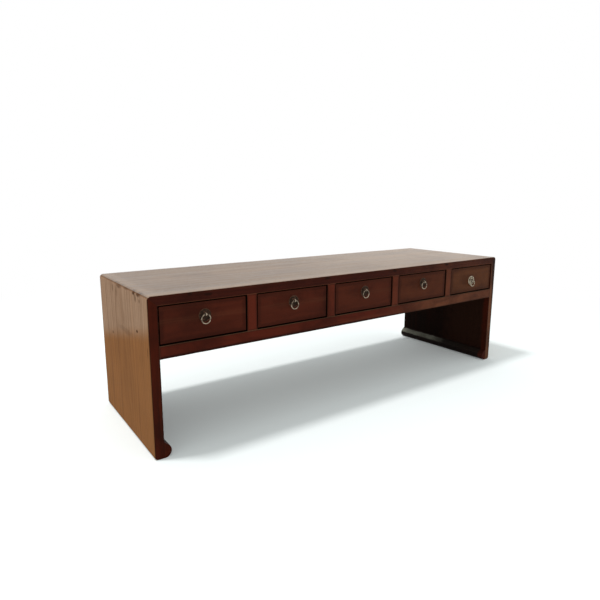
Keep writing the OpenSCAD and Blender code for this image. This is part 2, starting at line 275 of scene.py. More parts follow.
def pick(obj, kind, test):
    """Selects only the points, edges or faces of the piece that pass a test"""
    bpy.ops.mesh.select_mode(type=kind)
    bpy.ops.mesh.select_all(action="DESELECT")
    mesh = bmesh.from_edit_mesh(obj.data)
    items = {"VERT": mesh.verts, "EDGE": mesh.edges, "FACE": mesh.faces}[kind]
    chosen = [item for item in items if test(item)]
    if not chosen:
        raise RuntimeError(f"{obj.name} has nothing to work on at that place")
    for item in chosen:
        item.select_set(True)
    bmesh.update_edit_mesh(obj.data)


def middle(edge):
    return (edge.verts[0].co + edge.verts[1].co) / 2


def along(edge, axis):
    """Whether an edge runs along an axis"""
    run = edge.verts[1].co - edge.verts[0].co
    return abs(run[axis]) > STRAIGHT * run.length


def front_or_back(edge):
    """Whether an edge lies in the table's front or back plane"""
    y = middle(edge).y
    return min(y - FRONT_Y, BACK_Y - y) < TOUCH


def board(name, low, high):
    """A plank between two corners"""
    deselect()
    bpy.ops.mesh.primitive_cube_add(size=1.0, location=(low + high) / 2)
    bpy.context.object.scale = high - low
    return added(name)


def disc(name, centre, radius, points, fill="NGON"):
    """A flat round that looks to the front"""
    deselect()
    bpy.ops.mesh.primitive_circle_add(
        vertices=points, radius=radius, fill_type=fill, location=centre, rotation=TO_FRONT,
    )
    return added(name)


def torus(name, centre, turn, ring_r, wire_r, segments):
    deselect()
    bpy.ops.mesh.primitive_torus_add(
        location=centre, rotation=turn, major_radius=ring_r, minor_radius=wire_r,
        major_segments=segments, minor_segments=20,
    )
    return added(name)


def round_edges(obj, radius, test, segments=4):
    edit(obj)
    pick(obj, "EDGE", test)
    bpy.ops.mesh.bevel(
        offset=radius, segments=segments, profile=0.5, affect="EDGES", clamp_overlap=True,
    )
    leave()


def saw_off(obj, point, normal):
    """Cuts the piece at a plane and closes it, leaving out what lies on the normal's side"""
    edit(obj)
    pick_all()
    bpy.ops.mesh.bisect(plane_co=point, plane_no=normal, use_fill=True, clear_outer=True)
    leave()


def divide(obj, axis, spacing):
    """Splits all edges that run along an axis, so that the piece can be uneven"""
    edit(obj)
    pick(obj, "EDGE", lambda e: along(e, axis) and e.calc_length() > spacing)
    edges = bmesh.from_edit_mesh(obj.data).edges
    longest = max(edge.calc_length() for edge in edges if edge.select)
    bpy.ops.mesh.subdivide(number_cuts=max(1, round(longest / spacing)))
    leave()


def push(distance):
    """Extrudes what is selected along Y"""
    bpy.ops.mesh.extrude_region_move(TRANSFORM_OT_translate={"value": (0.0, distance, 0.0)})


def make_uneven(obj, depth, size, weight):
    """Sinks hollows into the surface; weight says whether, or how far, a point is sunk"""
    group = obj.vertex_groups.new(name="uneven")
    for vertex in obj.data.vertices:
        group.add([vertex.index], float(weight(vertex.co)), "REPLACE")
    texture = bpy.data.textures.new(obj.name + "_unevenness", "CLOUDS")
    texture.noise_scale = size
    texture.noise_depth = 2
    only(obj)
    bpy.ops.object.modifier_add(type="DISPLACE")
    modifier = obj.modifiers[-1]
    modifier.texture = texture
    modifier.texture_coords = "LOCAL"
    modifier.strength = depth
    modifier.mid_level = 1.0
    modifier.vertex_group = group.name
    bpy.ops.object.modifier_apply(modifier=modifier.name)
    obj.vertex_groups.clear()


def settle(obj, angle=32.0):
    """Joins doubled points, turns all faces outwards and shades them smooth up to an angle"""
    edit(obj)
    pick_all()
    bpy.ops.mesh.remove_doubles(threshold=0.002 * MM)
    bpy.ops.mesh.normals_make_consistent(inside=False)
    leave()
    only(obj)
    bpy.ops.object.shade_smooth_by_angle(angle=math.radians(angle))


def copy_to(obj, name, move):
    """A copy of a finished piece with its own mesh, moved to its place"""
    only(obj)
    bpy.ops.object.duplicate()
    bpy.ops.transform.translate(value=move)
    return added(name)


def join(pieces, name):
    only(pieces[0])
    for piece in pieces:
        piece.select_set(True)
    bpy.ops.object.join()
    rename(bpy.context.object, name)
    return bpy.context.object


def dress(obj, material, body, slot, node):
    """Gives a new piece its finish and its body, and hides the frame's node that it stands for"""
    obj.data.materials.clear()
    obj.data.materials.append(material)
    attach(obj, body)
    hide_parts(node)


def line_with(obj, material, test):
    """Gives the faces that pass a test a finish of their own"""
    obj.data.materials.append(material)
    edit(obj)
    pick(obj, "FACE", test)
    obj.active_material_index = len(obj.data.materials) - 1
    bpy.ops.object.material_slot_assign()
    leave()


def repaint(node, material):
    """Gives a node of the frame its finish"""
    obj = NODES[node]
    if not obj.material_slots:
        obj.data.materials.append(material)
    for slot in obj.material_slots:
        slot.material = material


# Writing node trees

class Nodes:
    """Adds nodes to a tree"""

    def __init__(self, tree):
        self.tree = tree

    def feed(self, node, inputs):
        """Gives a node its inputs, each a value or a link; a plain colour gets its alpha here"""
        for key, value in inputs.items():
            socket = node.inputs[key]
            if isinstance(value, bpy.types.NodeSocket):
                self.tree.links.new(value, socket)
            elif socket.type == "RGBA":
                socket.default_value = (*value, 1.0)
            else:
                socket.default_value = value

    def put(self, kind, inputs, **settings):
        node = self.tree.nodes.new("ShaderNode" + kind)
        for key, value in settings.items():
            setattr(node, key, value)
        self.feed(node, inputs)
        return node

    def use(self, group, **inputs):
        """Places a node group with its own values"""
        node = self.tree.nodes.new("ShaderNodeGroup")
        node.node_tree = bpy.data.node_groups[group]
        self.feed(node, inputs)
        return node.outputs

    def calc(self, operation, *values):
        return self.put("Math", dict(enumerate(values)), operation=operation).outputs[0]

    def minus(self, first, second):
        return self.calc("SUBTRACT", first, second)

    def times(self, first, second):
        return self.calc("MULTIPLY", first, second)

    def total(self, start, *parts, clamp=False):
        """A value plus others, each times its weight"""
        for value, weight in parts:
            start = self.calc("ADD", start, self.times(value, weight))
        start.node.use_clamp = clamp
        return start

    def vector(self, operation, *values):
        node = self.put("VectorMath", dict(enumerate(values)), operation=operation)
        return node.outputs["Value" if operation in ("LENGTH", "DOT_PRODUCT") else "Vector"]

    def spread(self, value, low, high):
        """Zero up to low, one from high on, and smooth between them"""
        inputs = {"Value": value, "From Min": low, "From Max": high}
        return self.put("MapRange", inputs, interpolation_type="SMOOTHSTEP").outputs["Result"]

    def fade(self, value, low, high):
        """One up to low, zero from high on"""
        return self.minus(1.0, self.spread(value, low, high))

    def noise(self, vector, scale, detail, roughness, out="Fac"):
        inputs = {"Vector": vector, "Scale": scale, "Detail": detail, "Roughness": roughness}
        return self.put("TexNoise", inputs).outputs[out]

    def mix(self, share, first, second):
        """Colour between two colours"""
        return self.put("Mix", {0: share, 6: first, 7: second}, data_type="RGBA").outputs[2]


def open_group(name, inputs, outputs):
    """A new node group with named sockets: its nodes, what it is given, and its end node"""
    tree = bpy.data.node_groups.new(name, "ShaderNodeTree")
    for way, sockets in (("INPUT", inputs), ("OUTPUT", outputs)):
        for kind, titles in sockets.items():
            for title in titles.split():
                tree.interface.new_socket(name=title, in_out=way, socket_type="NodeSocket" + kind)
    given = tree.nodes.new("NodeGroupInput").outputs
    return Nodes(tree), given, tree.nodes.new("NodeGroupOutput")


# Effects that several finishes share

def build_wood_grain():
    """Grain of a sawn board: X runs along the grain, and the pith is on the X axis"""
    nodes, given, end = open_group(
        "wood_grain", {"Vector": "Vector", "Float": "Rings Wander"},
        {"Float": "Latewood Streaks Fibres Pores"},
    )

    def scaled(vector, along_grain):
        return nodes.vector("MULTIPLY", vector, (along_grain, 1.0, 1.0))

    slow = scaled(given["Vector"], 0.22)
    drift = nodes.vector("SUBTRACT", nodes.noise(slow, 5.0, 3.0, 0.5, "Color"), (0.5, 0.5, 0.5))
    drift = nodes.put("VectorMath", {0: drift, "Scale": given["Wander"]}, operation="SCALE")
    across = scaled(nodes.vector("ADD", given["Vector"], drift.outputs["Vector"]), 0.0)
    turns = nodes.times(nodes.vector("LENGTH", across), given["Rings"])
    turns = nodes.calc("ADD", turns, nodes.noise(slow, 30.0, 2.0, 0.5))
    phase = nodes.calc("FRACT", turns)
    streaks = scaled(given["Vector"], 0.03)
    pores = scaled(given["Vector"], 0.07)
    nodes.feed(end, {
        "Latewood": nodes.times(nodes.spread(phase, 0.35, 0.9), nodes.fade(phase, 0.92, 1.0)),
        "Streaks": nodes.noise(streaks, 36.0, 5.0, 0.62),
        "Fibres": nodes.noise(streaks, 620.0, 3.0, 0.65),
        "Pores": nodes.spread(nodes.noise(pores, 900.0, 2.0, 0.5), 0.60, 0.70),
    })


def build_worn_edges():
    """One along the edges of a box-shaped piece, with a ragged border, and zero elsewhere"""
    nodes, given, end = open_group(
        "worn_edges", {"Vector": "Vector Low High", "Float": "Width Ragged"}, {"Float": "Edge"},
    )
    nearest = nodes.vector(
        "MINIMUM",
        nodes.vector("SUBTRACT", given["Vector"], given["Low"]),
        nodes.vector("SUBTRACT", given["High"], given["Vector"]),
    )
    x, y, z = nodes.put("SeparateXYZ", {"Vector": nearest}).outputs
    second = nodes.calc(
        "MAXIMUM", nodes.calc("MINIMUM", x, y),
        nodes.calc("MINIMUM", nodes.calc("MAXIMUM", x, y), z),
    )
    rough = nodes.noise(given["Vector"], 38.0, 5.0, 0.65)
    least = nodes.minus(1.5, given["Ragged"])
    reach = nodes.times(given["Width"], nodes.total(least, (rough, given["Ragged"])))
    share = nodes.calc("DIVIDE", second, nodes.calc("MAXIMUM", reach, TOUCH))
    nodes.feed(end, {"Edge": nodes.fade(share, 0.35, 1.0)})


def build_near_plane():
    """Near is one close to a plane; Beyond goes from zero to one across it"""
    nodes, given, end = open_group(
        "near_plane", {"Vector": "Vector Point Normal", "Float": "Depth Ragged"},
        {"Float": "Near Beyond"},
    )
    offset = nodes.vector("SUBTRACT", given["Vector"], given["Point"])
    side = nodes.vector("DOT_PRODUCT", offset, given["Normal"])
    rough = nodes.minus(nodes.noise(given["Vector"], 30.0, 4.0, 0.6), 0.5)
    share = nodes.calc("DIVIDE", nodes.total(side, (rough, given["Ragged"])), given["Depth"])
    nodes.feed(end, {
        "Near": nodes.fade(nodes.calc("ABSOLUTE", share), 0.6, 1.0),
        "Beyond": nodes.spread(share, -1.0, 1.0),
    })


def build_spot():
    """One inside an oval with a ragged border"""
    nodes, given, end = open_group(
        "spot", {"Vector": "Vector Centre Size", "Float": "Ragged"}, {"Float": "Spot"},
    )
    offset = nodes.vector("SUBTRACT", given["Vector"], given["Centre"])
    far = nodes.vector("LENGTH", nodes.vector("DIVIDE", offset, given["Size"]))
    rough = nodes.minus(nodes.noise(given["Vector"], 85.0, 4.0, 0.6), 0.5)
    far = nodes.total(far, (rough, given["Ragged"]))
    nodes.feed(end, {"Spot": nodes.fade(far, 0.35, 1.0)})


def build_old_lacquer():
    """Thin old lacquer over wood: mottled, streaked by the grain and worn through in places"""
    nodes, given, end = open_group(
        "old_lacquer",
        {
            "Vector": "Vector", "Color": "Lacquer Dark Worn",
            "Float": "Latewood Streaks Fibres Pores Edge Mottle Grain Wear Gloss",
        },
        {"Color": "Color", "Float": "Roughness Height"},
    )
    latewood, streaks, pores = given["Latewood"], given["Streaks"], given["Pores"]
    clouds = nodes.noise(given["Vector"], 6.5, 5.0, 0.6)
    fine = nodes.noise(given["Vector"], 48.0, 5.0, 0.6)
    dark_share = nodes.times(nodes.spread(clouds, 0.40, 0.72), given["Mottle"])
    tone = nodes.mix(dark_share, given["Lacquer"], given["Dark"])
    low_streak = nodes.spread(streaks, 0.52, 0.30)
    grain = nodes.total(nodes.times(latewood, 0.45), (low_streak, 0.55), (pores, 0.5))
    grain = nodes.times(grain, given["Grain"])
    grain.node.use_clamp = True
    tone = nodes.mix(grain, tone, given["Dark"])
    high_streak = nodes.times(nodes.spread(streaks, 0.54, 0.80), given["Grain"])
    tone = nodes.mix(nodes.times(high_streak, 0.35), tone, given["Worn"])
    scuffs = nodes.spread(nodes.noise(given["Vector"], 190.0, 3.0, 0.6), 0.66, 0.76)
    scuffs = nodes.times(scuffs, nodes.spread(fine, 0.46, 0.64))
    worn = nodes.calc("MAXIMUM", nodes.times(scuffs, 0.5), given["Edge"])
    worn = nodes.times(worn, given["Wear"])
    worn.node.use_clamp = True
    nodes.feed(end, {
        "Color": nodes.mix(worn, tone, given["Worn"]),
        "Roughness": nodes.total(
            given["Gloss"], (nodes.minus(fine, 0.5), 0.10), (nodes.minus(streaks, 0.5), 0.30),
            (worn, 0.12), clamp=True,
        ),
        "Height": nodes.total(
            nodes.times(given["Fibres"], 0.35), (streaks, 0.5), (pores, -0.5), (worn, -0.35),
            (fine, 0.2),
        ),
    })


def build_patina():
    """Old metal: dull and dark in the hollows, bright where it is rubbed"""
    nodes, given, end = open_group(
        "patina",
        {"Vector": "Vector", "Color": "Metal Tarnish", "Float": "Rubbed Amount Gloss"},
        {"Color": "Color", "Float": "Roughness Height"},
    )
    clouds = nodes.noise(given["Vector"], 240.0, 4.0, 0.6)
    fine = nodes.noise(given["Vector"], 1400.0, 3.0, 0.6)
    film = nodes.total(
        given["Amount"], (nodes.minus(clouds, 0.5), 2.4), (given["Rubbed"], -0.7),
    )
    film = nodes.spread(film, 0.1, 0.9)
    nodes.feed(end, {
        "Color": nodes.mix(film, given["Metal"], given["Tarnish"]),
        "Roughness": nodes.total(
            given["Gloss"], (film, 0.25), (nodes.minus(fine, 0.5), 0.2), clamp=True,
        ),
        "Height": nodes.total(nodes.times(clouds, 0.7), (fine, 0.3)),
    })


def build_effects():
    """Makes the shared node groups once"""
    if "wood_grain" in bpy.data.node_groups:
        return
    build_wood_grain()
    build_worn_edges()
    build_near_plane()
    build_spot()
    build_old_lacquer()
    build_patina()


def prepare(context):
    """Makes the shared effects; returns the table's sizes, the pulls' sizes and the colours"""
    build_effects()
    scene = context.scene
    return scene.table_sizes, scene.pull_sizes, scene.table_colours


# Finishes

GRAIN_TURN = {
    X: (0.0, 0.0, 0.0),
    Y: (0.0, 0.0, math.radians(90)),
    Z: (0.0, math.radians(-90), 0.0),
}
# What a finish for wood is made of where its look says nothing else; lengths in metres
USUAL_LOOK = dict(
    rings=80.0, wander=0.06, grain=0.5, mottle=0.6, wear=0.7, gloss=0.4, edge=0.003, ragged=1.4,
    grime=0.003, grime_share=0.0, bump=0.0004, specular=0.1, tint=(1.0, 1.0, 1.0),
)


def lacquer(colours, tone, **changes):
    """Look of the lacquer on the front, with changes of its own"""
    look = dict(
        tone=tone, dark=colours.front_dark_and_shadow, worn=colours.worn, rings=90.0, grain=0.6,
        mottle=0.7, wear=0.3, edge=0.0016, gloss=0.45, specular=0.03,
    )
    return {**look, **changes}


def dull_shaded_lacquer(colours, **changes):
    """Look of thin lacquer that nobody has polished, darkened with painted shade, with changes of
    its own
    """
    look = dict(tone=colours.inner, dark=colours.leg_dark, worn=colours.leg, edge=0.001)
    return {**look, **changes}


def layer(axis, at, depth, ragged, tone, strength, mask="Near"):
    """A tone laid over a finish along a plane across an axis, or on the far side of it"""
    normal = Vector([float(axis == each) for each in (X, Y, Z)])
    return at * normal, normal, depth, ragged, tone, strength, mask


def mitre_seam(outer_x, inward, tone):
    """The dark line of the mitre at an end of the table, as a layer"""
    normal = (inward * MITRE, 0, MITRE)
    return (outer_x, 0, TOP_HIGH.z), normal, SEAM_W, SEAM_W, tone, 0.7, "Near"


def new_material(name):
    material = bpy.data.materials.new(name)
    material.use_nodes = True
    material.node_tree.nodes.clear()
    return material, Nodes(material.node_tree)


def end_finish(nodes, result, bump, values):
    """Ends a material in a Principled shader fed by a finish's results"""
    height = nodes.put("Bump", {"Strength": 1.0, "Distance": bump, "Height": result["Height"]})
    shader = nodes.put("BsdfPrincipled", {
        "Base Color": result["Color"], "Roughness": result["Roughness"],
        "Normal": height.outputs[0], **values,
    })
    nodes.put("OutputMaterial", {"Surface": shader.outputs[0]})


def wood_finish(name, low, high, grain, pith, look, layers=(), spots=()):
    """A finish for a board between two corners, in the tones of its faces

    grain is the axis that the grain runs along, and pith a point on the middle of the
    tree. layers are (point, normal, depth, ragged, colour, strength, mask) laid over the
    tone one after another, and spots are (centre, size, colour, strength).
    """
    look = {**USUAL_LOOK, **look}
    material, nodes = new_material(name)
    spot_of = nodes.put("TexCoord", {}).outputs["Object"]
    turned = nodes.put(
        "Mapping", {"Vector": spot_of, "Location": pith, "Rotation": GRAIN_TURN[grain]},
        vector_type="TEXTURE",
    ).outputs[0]

    def edges(width, ragged):
        return nodes.use(
            "worn_edges", Vector=spot_of, Low=low, High=high, Width=width, Ragged=ragged,
        )["Edge"]

    figure = nodes.use("wood_grain", Vector=turned, Rings=look["rings"], Wander=look["wander"])
    covers = []
    for point, normal, depth, ragged, cover, strength, mask in layers:
        share = nodes.use(
            "near_plane", Vector=spot_of, Point=point, Normal=normal, Depth=depth, Ragged=ragged,
        )[mask]
        covers.append((share, strength, cover))
    for centre, size, cover, strength in spots:
        share = nodes.use("spot", Vector=spot_of, Centre=centre, Size=size, Ragged=1.1)["Spot"]
        covers.append((share, strength, cover))
    # Darker along the piece's edges
    if look["grime_share"]:
        covers.append((edges(look["grime"], 1.0), look["grime_share"], look["dark"]))
    tone = look["tone"]
    for share, strength, cover in covers:
        tone = nodes.mix(nodes.times(share, strength), tone, cover)
    result = nodes.use(
        "old_lacquer", Vector=spot_of, Lacquer=tone, Edge=edges(look["edge"], look["ragged"]),
        **{key: figure[key] for key in ("Latewood", "Streaks", "Fibres", "Pores")},
        **{key.title(): look[key] for key in ("dark", "worn", "mottle", "grain", "wear", "gloss")},
    )
    end_finish(nodes, result, look["bump"], {
        "Specular IOR Level": look["specular"], "Specular Tint": look["tint"],
    })
    return material


def dull_shaded_inside(name, low, high, grain, colours, layers=()):
    """A finish for faces that look into the shade, darkened with painted shade"""
    look = dull_shaded_lacquer(colours, rings=90.0, mottle=0.5, wear=0.25, gloss=0.75, specular=0.02)
    return wood_finish(name, low, high, grain, (0.0, 0.0, -0.2), look, layers)


def bare_finish(node, grain, colours):
    """Bare wood that has gone brown with age"""
    low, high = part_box(node)
    look = dict(
        tone=colours.wood, dark=colours.wood_dark, worn=colours.wood_dark, rings=160.0,
        wander=0.04, grain=0.6, mottle=0.5, wear=0.5, edge=0.002, gloss=0.7, specular=0.2,
    )
    dirt = layer(Z, low.z, 0.004, 0.002, colours.leg_dark, 0.9)
    pith = (low + high) / 2 + Vector((0.05, 0.02, -0.14))
    return wood_finish("bare_" + node, low, high, grain, pith, look, [dirt])


def metal_finish(name, metal, tarnish, amount, gloss):
    """A finish for metal whose points carry how much they are rubbed"""
    material, nodes = new_material(name)
    result = nodes.use(
        "patina", Vector=nodes.put("TexCoord", {}).outputs["Object"],
        Rubbed=nodes.put("Attribute", {}, attribute_name="rubbed").outputs["Fac"],
        Metal=metal, Tarnish=tarnish, Amount=amount, Gloss=gloss,
    )
    end_finish(nodes, result, 0.00012, {"Metallic": 0.85})
    return material


# The boards

class CONSOLE_OT_top_board(bpy.types.Operator):
    """Models the worn top board, mitred and rounded at both ends"""

    bl_idname = "console.top_board"
    bl_label = "Top Board"

    # Knots beside the left mitre: place, width, reach, strength
    KNOTS = (
        (-0.125, 0.020, 0.016, 0.8), (-0.185, 0.026, 0.014, 0.7), (0.0, 0.03, 0.012, 0.5),
        (0.07, 0.02, 0.012, 0.4),
    )
    # Dark places on the front edge: place, height, width
    FRONT_STAINS = (
        (-0.705, 0.494, 0.010), (-0.646, 0.487, 0.018), (-0.184, 0.492, 0.020),
        (0.157, 0.491, 0.018), (0.475, 0.491, 0.020),
    )

    def execute(self, context):
        sizes, _, colours = prepare(context)
        top = board("lacquered_top", TOP_LOW, TOP_HIGH)
        round_edges(
            top, sizes.corner_r, lambda e: along(e, Y) and middle(e).z > TOP_HIGH.z - NEAR, 8,
        )
        round_edges(top, sizes.arris_r, lambda e: (
            front_or_back(e) and middle(e).z > TOP_UNDER_Z + NEAR
        ))
        round_edges(top, sizes.inner_arris_r, lambda e: (
            along(e, X) and middle(e).z < TOP_UNDER_Z + TOUCH and middle(e).y < FRONT_Y + TOUCH
        ), 3)
        joints = []
        for outward, corner_x in ((-1, LEFT_LOW.x), (1, RIGHT_HIGH.x)):
            saw_off(top, (corner_x, 0.0, TOP_HIGH.z), (outward * MITRE, 0.0, -MITRE))
            joints.append(mitre_seam(corner_x, -outward, colours.leg_dark))
        for axis in (X, Y):
            divide(top, axis, sizes.grid)
        make_uneven(top, sizes.planing, sizes.planing_size, lambda p: not self.in_joint(p))
        settle(top)
        worn = wood_finish(
            "worn_top", TOP_LOW, TOP_HIGH, X, (0.0, 0.06, 0.34),
            dict(
                tone=colours.top, dark=colours.top_dark, worn=colours.top_pale, rings=60.0,
                grain=0.75, mottle=0.3, wear=0.45, edge=0.004, gloss=0.36, specular=0.5,
                bump=0.0003,
            ),
            [
                # Painted reflection towards the right end of the top
                layer(X, 0.25, 0.95, 0.1, colours.top_far_sheen, 1.0, "Beyond"),
                # Painted highlight along the front edge of the top
                layer(Y, FRONT_Y, 0.06, 0.03, colours.top_pale, 0.5),
                layer(X, LEFT_LOW.x, 0.05, 0.02, colours.top_pale, 0.35),
                *joints,
            ],
            [
                ((LEFT_LOW.x, y, TOP_HIGH.z), (reach, width, 0.01), colours.knot, strength)
                for y, width, reach, strength in self.KNOTS
            ],
        )
        dress(top, worn, "frame", "lacquered_wood", "top_board")
        # Its worn edges are partly real wear and partly a painted highlight along the lower front
        # arris
        front = wood_finish(
            "worn_front_edge", TOP_LOW, TOP_HIGH, X, (0.0, FRONT_Y + 0.06, 0.34),
            lacquer(colours, colours.top_edge, mottle=0.8, edge=0.002),
            [layer(X, 0.25, 0.20, 0.10, colours.frame_pale, 0.25, "Beyond"), *joints],
            [
                ((x, FRONT_Y, z), (width, 0.006, 0.007), colours.leg_dark, 0.9)
                for x, z, width in self.FRONT_STAINS
            ],
        )
        line_with(top, front, lambda f: abs(f.normal.y) > FACING)
        # The underside is dark with painted shade
        under = dull_shaded_inside("dull_under_top", TOP_LOW, TOP_HIGH, X, colours)
        line_with(top, under, lambda f: f.normal.z < -FACING)
        return {"FINISHED"}

    @staticmethod
    def in_joint(point):
        """Whether a point lies in a mitre or on the underside, where the boards meet others"""
        in_mitre = abs(point.x) > RIGHT_HIGH.x - (TOP_HIGH.z - point.z) - NEAR
        return in_mitre or point.z < TOP_UNDER_Z + NEAR / 2


class CONSOLE_OT_side_boards(bpy.types.Operator):
    """Models the two worn side boards, mitred under the top and rounded at the floor"""

    bl_idname = "console.side_boards"
    bl_label = "Side Boards"

    # Knots and burns of the left board: place, height, width, height of the mark, strength
    LEFT_MARKS = (
        (-0.1473, 0.3761, 0.010, 0.007, 1.0), (0.1288, 0.3117, 0.007, 0.007, 0.9),
        (-0.130, 0.493, 0.016, 0.011, 0.9), (-0.172, 0.493, 0.024, 0.009, 0.8),
        (-0.146, 0.479, 0.009, 0.016, 0.6), (-0.184, 0.475, 0.007, 0.007, 0.5),
        (0.026, 0.491, 0.036, 0.010, 0.55), (0.058, 0.466, 0.007, 0.022, 0.5),
        (0.096, 0.473, 0.009, 0.020, 0.45), (-0.05, 0.494, 0.034, 0.006, 0.5),
        (-0.03, 0.352, 0.10, 0.014, 0.22), (-0.238, 0.329, 0.0025, 0.022, 0.85),
    )
    # Depth in the board from which on it counts as its inner face
    INNER_FROM = 28 * MM
    # Painted reflection on the upper part: where it ends at the front, and the slope of its border
    SHEEN_DOWN_TO = 0.394
    SHEEN_SLOPE = (0, 0.2142, 0.9768)

    def execute(self, context):
        sizes, _, colours = prepare(context)
        for side, outward, low, high in (
            ("left", -1, LEFT_LOW, LEFT_HIGH), ("right", 1, RIGHT_LOW, RIGHT_HIGH),
        ):
            outer_x, inner_x = (low.x, high.x) if side == "left" else (high.x, low.x)
            plank = self.plank(side, sizes, outward, low, high, outer_x, inner_x)
            self.finish(plank, side, colours, outward, low, high, outer_x, inner_x)
        return {"FINISHED"}

    def plank(self, side, sizes, outward, low, high, outer_x, inner_x):
        def outer(edge):
            return abs(middle(edge).x - outer_x) < sizes.corner_r + NEAR

        def floor(edge):
            return middle(edge).z < NEAR

        def weight(point):
            """Nothing is sunk at the toe, in the mitre and on the inner face"""
            depth = abs(point.x - outer_x)
            in_mitre = point.z > TOP_HIGH.z - depth - NEAR
            return not (point.z < sizes.toe_r or in_mitre or depth > self.INNER_FROM)

        plank = board(f"lacquered_{side}_side", low, high)
        round_edges(plank, sizes.corner_r, lambda e: (
            along(e, Y) and outer(e) and middle(e).z > high.z - NEAR
        ), 8)
        round_edges(plank, sizes.toe_r, lambda e: along(e, Y) and outer(e) and floor(e), 6)
        round_edges(plank, sizes.arris_r, lambda e: (
            front_or_back(e) and outer(e) and not (along(e, X) and floor(e))
        ))
        round_edges(plank, sizes.inner_arris_r, lambda e: (
            along(e, Z) and abs(middle(e).x - inner_x) < TOUCH
        ), 3)
        saw_off(plank, (outer_x, 0.0, TOP_HIGH.z), (-outward * MITRE, 0.0, MITRE))
        for axis in (Y, Z):
            divide(plank, axis, sizes.grid)
        make_uneven(plank, sizes.planing, sizes.planing_size, weight)
        settle(plank)
        return plank

    def finish(self, plank, side, colours, outward, low, high, outer_x, inner_x):
        left = side == "left"
        beyond = Vector((-outward * abs(high.x - low.x), 0, 0))
        corners = (low, high + beyond) if left else (low + beyond, high)
        joint = mitre_seam(outer_x, -outward, colours.knot)
        # Painted reflection over the upper part, weaker on the right board
        sheen_band = (
            (outer_x, FRONT_Y, self.SHEEN_DOWN_TO), self.SHEEN_SLOPE, 0.03, 0.014,
            colours.side_painted_sheen, 1.0 if left else 0.5, "Beyond",
        )
        worn = wood_finish(
            f"worn_{side}_side", *corners, Z, (outer_x - outward * 0.16, 0.03, 0.0),
            dict(
                tone=colours.side, dark=colours.side_dark, worn=colours.side_worn, rings=75.0,
                grain=0.55, mottle=0.18, wear=0.3, edge=0.002, gloss=0.85, specular=0.02,
                tint=(1.0, 0.75, 0.55), grime=0.007, grime_share=0.6,
            ),
            [sheen_band, joint],
            [
                ((outer_x, y, z), (0.02, width, height), colours.knot, strength)
                for y, z, width, height, strength in self.LEFT_MARKS if left
            ],
        )
        dress(plank, worn, "frame", "lacquered_wood", f"{side}_side_board")
        darkened, rubbed = [], []
        if not left:
            darkened = [
                layer(Z, 0.36, 0.02, 0.01, colours.leg_dark, 0.5, "Beyond"),
                (
                    (outer_x - 0.010, 0, 0.30), (1, 0, 0.08), 0.004, 0.003, colours.leg_dark,
                    0.9, "Beyond",
                ),
            ]
            # Inside the right board: a painted reflection, browner towards the front, and the leg's
            # lacquer along the front edge
            rubbed = [
                layer(Y, FRONT_Y, 0.30, 0.14, colours.inside_painted_reflection, 0.55),
                layer(Y, FRONT_Y, 0.035, 0.02, colours.leg, 0.7),
            ]
        edge = wood_finish(
            f"worn_{side}_leg", *corners, Z, (outer_x, FRONT_Y + 0.1, 0.0),
            lacquer(colours, colours.leg if left else colours.leg_last, dark=colours.leg_dark),
            [
                layer(X, outer_x, 0.0035, 0.0015, colours.leg_dark, 0.85),
                layer(X, inner_x, 0.003, 0.0015, colours.leg_dark, 0.6),
                *darkened, joint,
            ],
        )
        line_with(plank, edge, lambda f: abs(f.normal.y) > FACING)
        # The inner face is dark with painted shade
        inside = dull_shaded_inside(f"dull_{side}_inside", low, high, Z, colours, rubbed)
        line_with(plank, inside, lambda f: f.normal.x * outward < -FACING)


